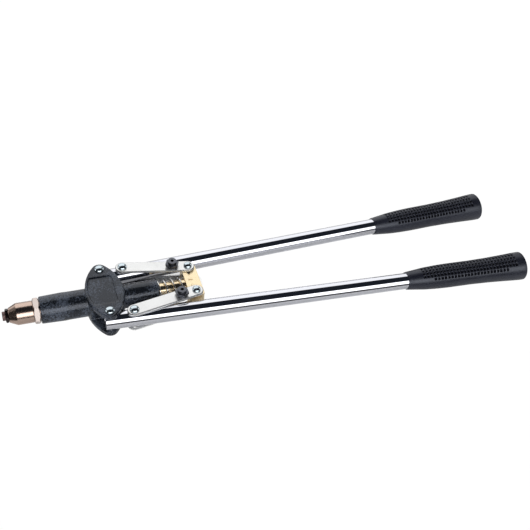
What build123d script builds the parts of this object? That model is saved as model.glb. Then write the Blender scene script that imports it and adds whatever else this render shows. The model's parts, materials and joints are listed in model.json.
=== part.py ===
from build123d import *
from math import cos, radians, sin, sqrt
import os

# Long-arm hand riveter. Millimetres, +Z up.
# Origin: centre of the nosepiece's front face. +X runs back along the barrel towards the grips,
# +Y is the far handle's side, and both handles lie closed in the XY plane.

# Nosepiece, in its own length from the front face
NOSE_TIP_R = 4.15
NOSE_TIP_LENGTH = 2.6
NOSE_HEX_FLATS = 11.4
NOSE_HEX_LENGTH = 2.7
NOSE_COLLAR_R = 5.2
NOSE_COLLAR_LENGTH = 1.6
NOSE_THREAD_R = 3.95
NOSE_LENGTH = 12.4
NOSE_BORE_R = 1.55

# Front sleeve and its lock nut
SLEEVE_FRONT_X = 5.4
SLEEVE_FRONT_R = 6.5
SLEEVE_CONE_X = 12.2
SLEEVE_R = 9.9
SLEEVE_REAR_X = 26.4
SLEEVE_SHANK_R = 8.3
SLEEVE_SHANK_X = 48.0
SLEEVE_BORE_R = 7.35
LOCK_NUT_X = 26.5
LOCK_NUT_THICK = 5.5
LOCK_NUT_FLATS = 21.6
LOCK_NUT_TURN = 2.0

# Head casting
BARREL_FRONT_X = 32.3
BARREL_FRONT_R = 12.3
BARREL_SWELL_X = 53.0
BARREL_SWELL_R = 12.95
BARREL_R = 12.75
REAR_BARREL_X = 107.0
REAR_BARREL_R = 11.2
REAR_BARREL_END_X = 139.0
BARREL_BORE_R = 8.35
BARREL_BORE_END_X = 82.0
PLATE_FRONT_X = 73.0
PLATE_REAR_X = 107.2
PLATE_TIP_R = 7.0
PLATE_INNER_Z = 8.4
PLATE_OUTER_Z = 13.35
PLATE_EDGE_ROUND = 0.8
WEB_HALF_WIDTH = 14.0
PANEL_DEPTH = 0.8
PANEL_MARGIN = 2.3
PANEL_REAR_X = 99.4
PANEL_HALF_WIDTH = 16.8
PANEL_CORNER_R = 3.0

# Linkage
PIVOT_X = 90.0
PIVOT_Y = 26.1
SPLAY = 2.93
LINK_PIN_ALONG = 21.6
YOKE_PIN_X = 171.7
YOKE_PIN_Y = 16.0
LINK_R = 6.4
LINK_INNER_Z = 8.3
LINK_THICK = 2.5
SPARE_NOSE_FROM_YOKE_PIN = 14.8

# Rivets and bushes
SHANK_R = 2.7
YOKE_SHANK_R = 2.2
HEAD_R = 4.35
YOKE_HEAD_R = 3.95
HEAD_HEIGHT = 3.0
HEAD_RIM = 0.6
BUSH_R = 4.0
RUNNING = 0.08
SEAT = 0.02

# Handle tubes and grips, by distance along the tube from the pivot
TUBE_R = 8.0
TUBE_WALL = 1.5
TUBE_FRONT = -4.4
TUBE_REAR = 416.0
GRIP_START = 290.7
GRIP_END = 424.8
GRIP_OUTLINE = ((0, 8.8), (3, 9.3), (20, 11.1), (45, 12.2), (70, 12.15), (90, 12.7), (122, 14.4))
GRIP_SHOULDER_R = 13.4
GRIP_SHOULDER_BACK = 3.2
GRIP_END_R = 9.0

# Yoke, pull rod and return spring
YOKE_FRONT_X = 165.2
YOKE_REAR_X = 179.0
YOKE_HALF_WIDTH = 20.0
YOKE_HALF_HEIGHT = 8.1
YOKE_CORNER_R = 1.6
SLOT_HALF_LENGTH = 4.2
SLOT_HALF_WIDTH = 3.3
SLOT_CORNER_R = 2.3
ROD_R = 7.05
ROD_FRONT_X = 53.4
ROD_SHOULDER_X = 65.4
ROD_THREAD_R = 5.35
ROD_BORE_R = 3.6
ROD_BORE_END_X = 77.4
ROD_TAIL_R = 5.0
SET_SCREW_X = 170.3
SET_SCREW_R = 2.4
SET_SCREW_LENGTH = 3.0
SET_SCREW_SLOT = (4.2, 0.8, 0.9)
SPRING_MEAN_R = 9.1
SPRING_WIRE_R = 0.65
SPRING_TURNS = 4

# Jaw case and what it holds
CASE_FRONT_X = 25.4
CASE_R = 6.9
CASE_MOUTH_R = 3.6
CASE_CONE_X = 41.4
CASE_BORE_R = 5.4
JAW_FRONT_X = 25.8
JAW_REAR_X = 39.4
JAW_COUNT = 3
JAW_ARC = 112.0
JAW_GRIP_R = 1.3
JAW_GAP = 0.15
PUSHER_R = 5.0
PUSHER_STEM_R = 3.2
PUSHER_BORE_R = 1.8
PUSHER_FLANGE_X = 43.4
PUSHER_REAR_X = 51.4
JAW_SPRING_MEAN_R = 4.15
JAW_SPRING_WIRE_R = 0.4
JAW_SPRING_TURNS = 5

SIDES = {"far": 1, "near": -1}
LINK_PIN_X = PIVOT_X + LINK_PIN_ALONG * cos(radians(SPLAY))
LINK_PIN_Y = PIVOT_Y + LINK_PIN_ALONG * sin(radians(SPLAY))


def turned(profile, arc=360):
    """Solid of revolution about the barrel axis, from (x, radius) corners."""
    section = Plane.XZ * make_face(Polyline(*profile, close=True))
    return revolve(section, Axis.X, arc)


def upright(radius, half_height, x, y):
    """Vertical cylinder centred on the XY plane."""
    return Pos(x, y, 0) * Cylinder(radius, 2 * half_height)


def hexagon(flats, x_front, length, turn, chamfer_r):
    """Hexagonal prism along X whose corners are cut back by a 30 degree cone at both ends."""
    corner_r = flats / sqrt(3)
    plane = Plane(origin=(x_front, 0, 0), x_dir=(0, 1, 0), z_dir=(1, 0, 0))
    prism = extrude(plane * (Rot(0, 0, turn) * RegularPolygon(corner_r, 6)), length)
    cut = (corner_r - chamfer_r) * 0.577
    x_rear = x_front + length
    profile = (
        (x_front, 0),
        (x_front, chamfer_r),
        (x_front + cut, corner_r),
        (x_rear - cut, corner_r),
        (x_rear, chamfer_r),
        (x_rear, 0),
    )
    return prism & turned(profile)


def nosepiece_along_x(turn):
    """Nosepiece with its front face at x = 0 and its thread behind."""
    hex_end = NOSE_TIP_LENGTH + NOSE_HEX_LENGTH
    collar_end = hex_end + NOSE_COLLAR_LENGTH
    profile = (
        (0, 0),
        (0, NOSE_TIP_R - 0.3),
        (0.3, NOSE_TIP_R),
        (NOSE_TIP_LENGTH, NOSE_TIP_R),
        (NOSE_TIP_LENGTH, NOSE_COLLAR_R - 0.2),
        (collar_end, NOSE_COLLAR_R),
        (collar_end, NOSE_THREAD_R),
        (NOSE_LENGTH, NOSE_THREAD_R),
        (NOSE_LENGTH, 0),
    )
    wrench_hex = hexagon(NOSE_HEX_FLATS, NOSE_TIP_LENGTH, NOSE_HEX_LENGTH, turn, NOSE_HEX_FLATS / 2)
    bore = Pos(NOSE_LENGTH / 2, 0, 0) * Rot(0, 90, 0) * Cylinder(NOSE_BORE_R, NOSE_LENGTH + 2)
    return turned(profile) + wrench_hex - bore


def front_sleeve():
    """Cone-nosed sleeve, bored for the jaw case and threaded for the nosepiece."""
    collar_seat = NOSE_TIP_LENGTH + NOSE_HEX_LENGTH + NOSE_COLLAR_LENGTH + 0.02
    profile = (
        (SLEEVE_FRONT_X, NOSE_COLLAR_R + 0.1),
        (SLEEVE_FRONT_X, SLEEVE_FRONT_R),
        (SLEEVE_CONE_X, SLEEVE_R),
        (SLEEVE_REAR_X, SLEEVE_R),
        (SLEEVE_REAR_X, SLEEVE_SHANK_R),
        (SLEEVE_SHANK_X, SLEEVE_SHANK_R),
        (SLEEVE_SHANK_X, SLEEVE_BORE_R),
        (NOSE_LENGTH + 0.4, SLEEVE_BORE_R),
        (NOSE_LENGTH + 0.4, NOSE_THREAD_R + SEAT),
        (collar_seat, NOSE_THREAD_R + SEAT),
        (collar_seat, NOSE_COLLAR_R + 0.1),
    )
    return turned(profile)


def lock_nut():
    """Thin hexagon nut that locks the sleeve."""
    body = hexagon(LOCK_NUT_FLATS, LOCK_NUT_X, LOCK_NUT_THICK, LOCK_NUT_TURN, LOCK_NUT_FLATS / 2 - 0.2)
    middle = LOCK_NUT_X + LOCK_NUT_THICK / 2
    bore = Pos(middle, 0, 0) * Rot(0, 90, 0) * Cylinder(SLEEVE_SHANK_R + SEAT, LOCK_NUT_THICK + 2)
    return body - bore


def lens_face(inset):
    """The side plate's outline, a lens with rounded tips about the two pivots, moved in by inset."""
    tip_r = PLATE_TIP_R - inset
    edges = []
    for x_edge, way in ((PLATE_REAR_X - inset, 1), (PLATE_FRONT_X + inset, -1)):
        depth = abs(x_edge - PIVOT_X)
        big_r = (depth**2 + PIVOT_Y**2 - tip_r**2) / (2 * (depth - tip_r))
        centre_x = x_edge - way * big_r
        reach = big_r / (big_r - tip_r)
        touch_x = centre_x + (PIVOT_X - centre_x) * reach
        touch_y = PIVOT_Y * reach
        edges.append((x_edge, touch_x, touch_y))
    (rear_x, rear_touch_x, rear_y), (front_x, front_touch_x, front_y) = edges
    outline = [
        ThreePointArc((rear_touch_x, -rear_y), (rear_x, 0), (rear_touch_x, rear_y)),
        ThreePointArc((rear_touch_x, rear_y), (PIVOT_X, PIVOT_Y + tip_r), (front_touch_x, front_y)),
        ThreePointArc((front_touch_x, front_y), (front_x, 0), (front_touch_x, -front_y)),
        ThreePointArc((front_touch_x, -front_y), (PIVOT_X, -PIVOT_Y - tip_r), (rear_touch_x, -rear_y)),
    ]
    return make_face(outline)


def label_recess():
    """Shallow blank recess in the upper plate, inside the plate's rim."""
    length = PANEL_REAR_X - PLATE_FRONT_X + 10
    panel = RectangleRounded(length, 2 * PANEL_HALF_WIDTH, PANEL_CORNER_R)
    outline = lens_face(PANEL_MARGIN) & (Pos(PANEL_REAR_X - length / 2, 0) * panel)
    return Pos(0, 0, PLATE_OUTER_Z - PANEL_DEPTH) * extrude(outline, PANEL_DEPTH + 1)


def head_casting():
    """Front barrel, two side plates with the web between them, and rear barrel, bored through."""
    shell = turned(
        (
            (BARREL_FRONT_X, 0),
            (BARREL_FRONT_X, BARREL_FRONT_R - 0.6),
            (BARREL_FRONT_X + 0.6, BARREL_FRONT_R),
            (BARREL_SWELL_X, BARREL_SWELL_R),
            (BARREL_SWELL_X + 4, BARREL_R),
            (REAR_BARREL_X - 2, BARREL_R),
            (REAR_BARREL_X, REAR_BARREL_R),
            (REAR_BARREL_END_X - 0.8, REAR_BARREL_R),
            (REAR_BARREL_END_X, REAR_BARREL_R - 0.8),
            (REAR_BARREL_END_X, 0),
        )
    )
    plate = extrude(lens_face(0), PLATE_OUTER_Z - PLATE_INNER_Z)
    outer_edges = plate.edges().group_by(Axis.Z)[-1]
    plate = Pos(0, 0, PLATE_INNER_Z) * fillet(outer_edges, PLATE_EDGE_ROUND)
    web_outline = lens_face(0) & (Pos(PIVOT_X, 0) * Rectangle(60, 2 * WEB_HALF_WIDTH))
    web = Pos(0, 0, -PLATE_INNER_Z - 1) * extrude(web_outline, 2 * PLATE_INNER_Z + 2)
    body = shell + web + plate + mirror(plate, Plane.XY) - label_recess()
    bore = turned(
        (
            (BARREL_FRONT_X - 1, 0),
            (BARREL_FRONT_X - 1, BARREL_BORE_R),
            (BARREL_BORE_END_X, BARREL_BORE_R),
            (BARREL_BORE_END_X, ROD_R + RUNNING),
            (REAR_BARREL_END_X + 1, ROD_R + RUNNING),
            (REAR_BARREL_END_X + 1, 0),
        )
    )
    body -= bore
    for side in SIDES.values():
        body -= upright(SHANK_R + SEAT, PLATE_OUTER_Z + 1, PIVOT_X, side * PIVOT_Y)
    return body


def rivet(shank_r, head_r, half_grip, x, y):
    """Vertical rivet with a domed head at both ends."""
    top = half_grip + HEAD_HEIGHT
    rim = half_grip + HEAD_RIM
    rise = HEAD_HEIGHT - HEAD_RIM
    dome_r = (head_r**2 + rise**2) / (2 * rise)
    half_r = head_r / 2
    half_z = top - dome_r + sqrt(dome_r**2 - half_r**2)
    outline = [
        Line((0, -top), (0, top)),
        ThreePointArc((0, top), (half_r, half_z), (head_r, rim)),
        Polyline(
            (head_r, rim),
            (head_r, half_grip),
            (shank_r, half_grip),
            (shank_r, -half_grip),
            (head_r, -half_grip),
            (head_r, -rim),
        ),
        ThreePointArc((head_r, -rim), (half_r, -half_z), (0, -top)),
    ]
    return Pos(x, y, 0) * revolve(Plane.XZ * make_face(outline), Axis.Z, 360)


def along_handle(side):
    """Place of a handle: origin at its pivot, its own X along the tube."""
    return Pos(PIVOT_X, side * PIVOT_Y, 0) * Rot(0, 0, side * SPLAY)


def handle_tube(side):
    """Round steel tube with cross holes for the two bushes."""
    length = TUBE_REAR - TUBE_FRONT
    lying = Pos((TUBE_REAR + TUBE_FRONT) / 2, 0, 0) * Rot(0, 90, 0)
    tube = lying * Cylinder(TUBE_R, length) - lying * Cylinder(TUBE_R - TUBE_WALL, length + 2)
    for along in (0, LINK_PIN_ALONG):
        tube -= upright(BUSH_R + SEAT, TUBE_R + 1, along, 0)
    return along_handle(side) * tube


def bush(side, along, shank_r, half_length):
    """Plain bush across the tube, on which a rivet turns."""
    body = upright(BUSH_R, half_length, along, 0) - upright(shank_r + RUNNING, half_length + 1, along, 0)
    return along_handle(side) * body


def grip(side):
    """Closed plastic sleeve over the tube's rear end."""
    start = GRIP_START
    inner_r = TUBE_R + SEAT
    side_points = [(start + s, r) for s, r in GRIP_OUTLINE]
    shoulder = (GRIP_END - GRIP_SHOULDER_BACK, GRIP_SHOULDER_R)
    outline = [
        Spline(*side_points),
        Spline(side_points[-1], shoulder, (GRIP_END, GRIP_END_R)),
        Polyline(
            (GRIP_END, GRIP_END_R),
            (GRIP_END, 0),
            (TUBE_REAR + SEAT, 0),
            (TUBE_REAR + SEAT, inner_r),
            (start, inner_r),
            side_points[0],
        ),
    ]
    body = revolve(Plane.XZ * make_face(outline), Axis.X, 360)
    return along_handle(side) * body


def on_link(side):
    """Place of a link pair: origin at the yoke pin, its own X towards the handle's link pin."""
    bearing = Vector(LINK_PIN_X - YOKE_PIN_X, side * (LINK_PIN_Y - YOKE_PIN_Y), 0)
    angle = Vector(1, 0, 0).get_signed_angle(bearing, Vector(0, 0, 1))
    return Pos(YOKE_PIN_X, side * YOKE_PIN_Y, 0) * Rot(0, 0, angle), bearing.length


def link(side, level):
    """Flat link with round ends. The upper one is threaded for a spare nosepiece."""
    place, length = on_link(side)
    plan = Pos(length / 2, 0) * SlotCenterToCenter(length, 2 * LINK_R)
    plate = Pos(0, 0, LINK_INNER_Z) * extrude(plan, LINK_THICK)
    if level < 0:
        plate = mirror(plate, Plane.XY)
    holes = [(0, YOKE_SHANK_R), (length, SHANK_R)]
    if level > 0:
        holes.append((SPARE_NOSE_FROM_YOKE_PIN, NOSE_THREAD_R))
    for along, radius in holes:
        plate -= upright(radius + SEAT, LINK_INNER_Z + LINK_THICK + 1, along, 0)
    return place * plate


def spare_nosepiece(side, turn):
    """Nosepiece stored upright in the upper link, tip up."""
    place, _ = on_link(side)
    height = LINK_INNER_Z + LINK_THICK + NOSE_TIP_LENGTH + NOSE_HEX_LENGTH + NOSE_COLLAR_LENGTH + SEAT
    return place * Pos(SPARE_NOSE_FROM_YOKE_PIN, 0, height) * Rot(0, 90, 0) * nosepiece_along_x(turn)


def yoke():
    """Cross block on the pull rod. Its two slots let the link rivets shift as the handles swing."""
    size_x = YOKE_REAR_X - YOKE_FRONT_X
    middle_x = (YOKE_REAR_X + YOKE_FRONT_X) / 2
    plan = Pos(middle_x, 0) * RectangleRounded(size_x, 2 * YOKE_HALF_WIDTH, YOKE_CORNER_R)
    block = Pos(0, 0, -YOKE_HALF_HEIGHT) * extrude(plan, 2 * YOKE_HALF_HEIGHT)
    block -= Pos(middle_x, 0, 0) * Rot(0, 90, 0) * Cylinder(ROD_TAIL_R + SEAT, size_x + 2)
    for side in SIDES.values():
        slot = RectangleRounded(2 * SLOT_HALF_LENGTH, 2 * SLOT_HALF_WIDTH, SLOT_CORNER_R)
        cut = extrude(slot, 2 * YOKE_HALF_HEIGHT + 2)
        block -= Pos(YOKE_PIN_X, side * YOKE_PIN_Y, -YOKE_HALF_HEIGHT - 1) * cut
    screw_depth = SET_SCREW_LENGTH + SEAT
    hole_z = YOKE_HALF_HEIGHT - screw_depth / 2 + 0.5
    block -= Pos(SET_SCREW_X, 0, hole_z) * Cylinder(SET_SCREW_R + SEAT, screw_depth + 1)
    return block


def yoke_set_screw():
    """Slotted headless screw in the yoke's top face, its slot along the rod."""
    middle_z = YOKE_HALF_HEIGHT - SET_SCREW_LENGTH / 2
    body = Pos(SET_SCREW_X, 0, middle_z) * Cylinder(SET_SCREW_R, SET_SCREW_LENGTH)
    length, width, depth = SET_SCREW_SLOT
    return body - Pos(SET_SCREW_X, 0, YOKE_HALF_HEIGHT) * Box(length, width, 2 * depth)


def pull_rod():
    """Round rod, threaded into the jaw case in front and fixed in the yoke behind."""
    profile = (
        (ROD_FRONT_X, ROD_BORE_R),
        (ROD_FRONT_X, ROD_THREAD_R),
        (ROD_SHOULDER_X, ROD_THREAD_R),
        (ROD_SHOULDER_X, ROD_R),
        (YOKE_FRONT_X - SEAT, ROD_R),
        (YOKE_FRONT_X - SEAT, ROD_TAIL_R),
        (YOKE_REAR_X, ROD_TAIL_R),
        (YOKE_REAR_X, 0),
        (ROD_BORE_END_X, 0),
        (ROD_BORE_END_X, ROD_BORE_R),
    )
    return turned(profile)


def case_cone_r(x):
    """Inner radius of the jaw case's cone at x."""
    share = (x - CASE_FRONT_X) / (CASE_CONE_X - CASE_FRONT_X)
    return CASE_MOUTH_R + share * (CASE_BORE_R - CASE_MOUTH_R)


def jaw_case():
    """Steel case with an inner cone that closes the jaws as it is pulled back."""
    profile = (
        (CASE_FRONT_X, CASE_MOUTH_R),
        (CASE_FRONT_X, CASE_R - 0.8),
        (CASE_FRONT_X + 0.8, CASE_R),
        (ROD_SHOULDER_X - SEAT, CASE_R),
        (ROD_SHOULDER_X - SEAT, CASE_BORE_R),
        (CASE_CONE_X, CASE_BORE_R),
    )
    return turned(profile)


def jaw(number):
    """One of the gripping jaws, a sector of a cone about the mandrel."""
    profile = (
        (JAW_FRONT_X, JAW_GRIP_R),
        (JAW_FRONT_X, case_cone_r(JAW_FRONT_X) - JAW_GAP),
        (JAW_REAR_X, case_cone_r(JAW_REAR_X) - JAW_GAP),
        (JAW_REAR_X, JAW_GRIP_R),
    )
    return Rot(number * 360 / JAW_COUNT, 0, 0) * turned(profile, JAW_ARC)


def jaw_pusher():
    """Hollow pusher behind the jaws, with a stem that the jaw spring sits on."""
    front = JAW_REAR_X + 0.1
    profile = (
        (front, PUSHER_BORE_R),
        (front, PUSHER_R - 0.4),
        (front + 2, PUSHER_R),
        (PUSHER_FLANGE_X, PUSHER_R),
        (PUSHER_FLANGE_X, PUSHER_STEM_R),
        (PUSHER_REAR_X, PUSHER_STEM_R),
        (PUSHER_REAR_X, PUSHER_BORE_R),
    )
    return turned(profile)


def coil(x_start, x_end, mean_r, wire_r, turns):
    """Round wire wound about the barrel axis, between two seats."""
    height = x_end - x_start - 2 * wire_r - 0.1
    path = Helix(height / turns, height, mean_r)
    start = Plane(origin=path @ 0, z_dir=path % 0)
    wire = sweep(start * Circle(wire_r), path=path, is_frenet=True)
    return Pos(x_start + wire_r + 0.05, 0, 0) * Rot(0, 90, 0) * wire


def return_spring():
    """Spring over the pull rod, between the rear barrel and the yoke."""
    return coil(REAR_BARREL_END_X, YOKE_FRONT_X, SPRING_MEAN_R, SPRING_WIRE_R, SPRING_TURNS)


def jaw_spring():
    """Small spring that presses the pusher onto the jaws."""
    return coil(PUSHER_FLANGE_X, ROD_FRONT_X, JAW_SPRING_MEAN_R, JAW_SPRING_WIRE_R, JAW_SPRING_TURNS)


def all_nodes():
    """Every node by name."""
    nodes = {
        "head_casting": head_casting(),
        "front_sleeve": front_sleeve(),
        "lock_nut": lock_nut(),
        "nosepiece": nosepiece_along_x(0),
        "yoke": yoke(),
        "yoke_set_screw": yoke_set_screw(),
        "pull_rod": pull_rod(),
        "return_spring": return_spring(),
        "jaw_case": jaw_case(),
        "jaw_pusher": jaw_pusher(),
        "jaw_spring": jaw_spring(),
    }
    for number in range(JAW_COUNT):
        nodes[f"jaw_{number + 1}"] = jaw(number)
    link_grip = LINK_INNER_Z + LINK_THICK + SEAT
    for name, side in SIDES.items():
        pivot = (PIVOT_X, side * PIVOT_Y)
        link_pin = (LINK_PIN_X, side * LINK_PIN_Y)
        yoke_pin = (YOKE_PIN_X, side * YOKE_PIN_Y)
        nodes[f"{name}_pivot_rivet"] = rivet(SHANK_R, HEAD_R, PLATE_OUTER_Z + SEAT, *pivot)
        nodes[f"{name}_link_rivet"] = rivet(SHANK_R, HEAD_R, link_grip, *link_pin)
        nodes[f"{name}_yoke_rivet"] = rivet(YOKE_SHANK_R, YOKE_HEAD_R, link_grip, *yoke_pin)
        nodes[f"{name}_handle_tube"] = handle_tube(side)
        nodes[f"{name}_grip"] = grip(side)
        nodes[f"{name}_pivot_bush"] = bush(side, 0, SHANK_R, PLATE_INNER_Z - 0.15)
        nodes[f"{name}_link_bush"] = bush(side, LINK_PIN_ALONG, SHANK_R, LINK_INNER_Z - 0.15)
        nodes[f"{name}_upper_link"] = link(side, 1)
        nodes[f"{name}_lower_link"] = link(side, -1)
        nodes[f"{name}_spare_nosepiece"] = spare_nosepiece(side, 30 * side)
    return nodes


os.makedirs("parts", exist_ok=True)
for node, solid in all_nodes().items():
    export_step(solid, f"parts/{node}.step")
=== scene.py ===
"""Looks of a long-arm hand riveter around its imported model: an add-on that is run as a script."""

import json
import math

import bmesh
import bpy
import numpy as np
from bpy.props import FloatProperty, FloatVectorProperty, IntProperty, PointerProperty
from mathutils import Matrix, Vector


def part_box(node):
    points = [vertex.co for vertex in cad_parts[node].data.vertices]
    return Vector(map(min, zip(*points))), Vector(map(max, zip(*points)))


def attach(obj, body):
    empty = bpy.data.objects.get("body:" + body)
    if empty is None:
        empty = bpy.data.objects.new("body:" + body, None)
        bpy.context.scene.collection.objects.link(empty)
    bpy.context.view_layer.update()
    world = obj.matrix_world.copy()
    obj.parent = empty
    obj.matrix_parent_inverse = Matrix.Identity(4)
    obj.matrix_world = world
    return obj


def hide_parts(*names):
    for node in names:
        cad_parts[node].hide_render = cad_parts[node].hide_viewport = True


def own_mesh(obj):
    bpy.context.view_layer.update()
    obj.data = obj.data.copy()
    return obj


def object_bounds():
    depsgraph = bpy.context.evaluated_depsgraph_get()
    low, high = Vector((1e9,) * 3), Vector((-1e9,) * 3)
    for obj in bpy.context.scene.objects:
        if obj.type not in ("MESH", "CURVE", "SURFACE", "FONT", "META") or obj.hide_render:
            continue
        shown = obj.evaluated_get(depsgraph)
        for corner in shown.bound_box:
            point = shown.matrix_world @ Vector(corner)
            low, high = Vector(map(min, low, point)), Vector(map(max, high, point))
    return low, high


bl_info = {
    "name": "Long-arm Hand Riveter",
    "version": (1, 0, 0),
    "blender": (4, 5, 0),
    "location": "3D View > Sidebar > Riveter",
    "description": "Builds the visible surfaces and finishes of a two-handed riveter",
    "category": "Add Mesh",
}

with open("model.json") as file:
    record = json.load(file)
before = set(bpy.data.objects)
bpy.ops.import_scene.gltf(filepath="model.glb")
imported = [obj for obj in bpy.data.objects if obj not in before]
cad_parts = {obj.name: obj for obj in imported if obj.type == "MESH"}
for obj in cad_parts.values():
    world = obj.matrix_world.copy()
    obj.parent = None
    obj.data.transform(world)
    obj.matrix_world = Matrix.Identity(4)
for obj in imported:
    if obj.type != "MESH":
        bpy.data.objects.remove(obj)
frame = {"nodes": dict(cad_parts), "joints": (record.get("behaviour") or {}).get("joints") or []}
CAD_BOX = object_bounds()
JOINTS = {joint["name"]: joint for joint in frame["joints"]}
MM = 0.001
SIDES = ("far", "near")

# Lengths of the pieces are in millimetres. CUT_EDGE rounds the turned ends, and CLEARANCE and SNUG
# keep neighbours from sharing a surface.
CUT_EDGE = 0.3
CLEARANCE = 0.1
SNUG = 0.05

# Nosepiece, by distance from its front face
TIP_R = 4.15
TIP_LENGTH = 2.6
HEX_FLATS = 11.4
HEX_LENGTH = 2.7
HEX_CHAMFER = 0.1
HEX_CHAMFER_ANGLE = math.radians(30)
COLLAR_R = 5.2
COLLAR_LENGTH = 1.6
COLLAR_CHAMFER = (0.2, 0.15)
THREAD_R = 3.95
THREAD_DEPTH = 0.35
THREAD_RELIEF = 0.45
NOSE_BORE_R = 1.55
NOSE_TURN = math.radians(27)
SPARE_TURNS = {"far": math.radians(-4.8), "near": math.radians(25.2)}

# Sleeve and lock nut: the cone is (x, r) at its two ends
SLEEVE_CONE = ((5.4, 6.5), (12.2, 9.9))
SLEEVE_SHANK_R = 8.3
SLEEVE_BORE_R = 7.35
SEAT_GAP = 0.4
LOCK_NUT_FLATS = 21.6
LOCK_NUT_TURN = math.radians(2.0)
LOCK_NUT_CHAMFER = 0.6
LOCK_NUT_CHAMFER_SLOPE = 1.9
LOCK_NUT_BORE_R = 8.35

# Rivets
RIVET_HEAD_HEIGHT = 3.0
RIVET_RIM = 0.4
RIVET_RIM_CHAMFER = 0.12
RIVET_SHANK_SHARE = 0.6

# Handle tubes, and grips: the outline is distance from the grip's start, and radius
TUBE_R = 8.0
TUBE_WALL = 1.5
GRIP_OUTLINE = ((0, 8.75), (1.2, 9.0), (8, 9.75), (20, 11.1), (33, 11.85), (45, 12.2), (58, 12.2))
GRIP_OUTLINE += ((70, 12.2), (90, 12.7), (108, 13.55), (122, 14.35), (128, 14.6))
GRIP_STEP = 0.38
GRIP_BLEND = 9
GRIP_ROUND_STEPS = 216
GRIP_END_ROUND = 3.2
GRIP_END_WALL = 8.0
GRIP_DOME = 1.8
GRIP_LIP_RUN = 6.0
GRIP_SLANT = 1.7
GRIP_SLANT_RUN = 22.0

# Dimples: their panel as shares of the grip's length, an angle to each side of its top and the
# power of its ellipse; half a dimple along and around, and its wall, as shares of the pitch
PANEL_SHARES = (0.10, 0.90)
PANEL_HALF_ANGLE = math.radians(57)
PANEL_POWER = 4.5
DIMPLE_ROW_R = 12.2
DIMPLE_HALVES = (0.35, 0.37)
DIMPLE_WALL = 0.12

# Pull rod: the cone drilled in its front is (depth, radius), its front thread (length, radius)
ROD_CONE = (4, 3.6)
ROD_THREAD = (12, 5.35)
ROD_NECK_R = 4.9

# Springs: turns, first angle, and the share of the full climb that the closed end turns have
SPRING_TURNS = 4
SPRING_START = math.radians(40)
SPRING_CLOSED = 0.13
SPRING_TURN_STEPS = 56
SPRING_WIRE_STEPS = 14
JAW_WIRE_R = 0.5

# Surroundings. OVER is brightness by angle, from the front horizon over the top to the back one,
# and ALONG is by direction, from the nose end to the handle end. The window lets the strips
# through. Outside it the ends glow faintly, and are lit only low down at the back.
STUDIO_STRENGTH = 2.9
DARK = (0.0045, 0.0055, 0.0075)
STRIPS_OVER = ((0.0, 0.12), (0.045, 0.14), (0.06, 1.0), (0.225, 1.0), (0.27, DARK), (0.625, DARK))
STRIPS_OVER += ((0.655, 0.44), (0.92, 0.44), (1.0, 0.25))
WINDOW_ALONG = ((0.0, 0.0), (0.17, 0.0), (0.27, 1.0), (0.73, 1.0), (0.83, 0.0))
ENDS_ALONG = ((0.0, 0.6), (0.09, 0.55), (0.15, 0.0), (0.88, 0.0), (0.96, 0.5))
ENDS_OVER = ((0.0, 0.0), (0.6, 0.0), (0.66, 1.0))
END_GLOW = 0.01

# Floor: its size, its own glow, how bright the camera sees it and by what share, a painted shadow
# by how far the tool closes it off, which counts only under the linkage, and the dark cards that
# it shows to reflections, past the nose end and along the near side. Its lengths are in metres.
FLOOR_HALF = 6.0
FLOOR_DROP = 0.0004
FLOOR_GLOW = 0.25
FLOOR_SEEN = 1.04
FLOOR_SEEN_SHARE = 0.97
GAP_REACH = 0.06
GAP_SAMPLES = 16
PAINTED_GAP_SHADOW = ((0.0, 0.02), (0.26, 0.03), (0.45, 1.0))
LINKAGE_MIDDLE = (0.163, 0.018)
LINKAGE_REACH = (0.027, 0.02)
OPEN_FLOOR = ((0.0, 0.0), (0.8, 0.0), (1.0, 1.0))
NOSE_CARD = ((0.0, 0.02), (0.1, 0.02), (0.4, 0.8))
NOSE_CARD_SLOPE = 20.0
SIDE_CARD = ((0.0, 0.04), (0.3, 0.04), (0.7, 0.8))
SIDE_CARD_SLOPE = 10.0
SIDE_CARD_Y = -0.165

# Camera: its direction and roll, its distance and target in metres, and its focal length as a
# share of the view's width
CAMERA_AZIMUTH = math.radians(-25.22)
CAMERA_ELEVATION = math.radians(44.44)
CAMERA_ROLL = math.radians(9.07)
CAMERA_DISTANCE = 0.77112
CAMERA_TARGET = (0.24934, 0.01068, 0.0)
SENSOR_WIDTH = 36.0
FOCAL_SHARE = 782.85 / 530.0


def size_property(name, description, default, low, high):
    """A length kept in metres, from millimetres."""
    return FloatProperty(
        name=name,
        description=description,
        default=default * MM,
        min=low * MM,
        max=high * MM,
        precision=5,
        unit="LENGTH",
    )


class RiveterSizes(bpy.types.PropertyGroup):
    """Sizes that change how the surfaces look, but not where they are."""

    edge_round: size_property("Edge rounding", "Rounding of the machined edges", 0.35, 0.05, 1.0)
    link_edge: size_property("Link edge", "Rounding of the stamped links' edges", 0.75, 0.1, 1.2)
    cast_voxel: size_property("Casting voxel", "Voxel that rounds the cast head", 0.5, 0.4, 1.0)
    dimple_pitch: size_property("Dimple pitch", "From one grip dimple to the next", 3.65, 2.0, 5.0)
    dimple_depth: size_property("Dimple depth", "Depth of the grip dimples", 1.2, 0.0, 1.4)
    spring_wire: size_property("Spring wire", "Diameter of the return spring's wire", 1.3, 1.0, 2.2)
    round_steps: IntProperty(
        name="Round steps",
        description="Steps round a turned surface",
        default=120,
        min=32,
        max=256,
    )


def colour_property(name, description, default):
    """A linear colour with the usual range."""
    return FloatVectorProperty(
        name=name,
        description=description,
        subtype="COLOR",
        size=3,
        min=0.0,
        max=1.0,
        default=default,
    )


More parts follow.
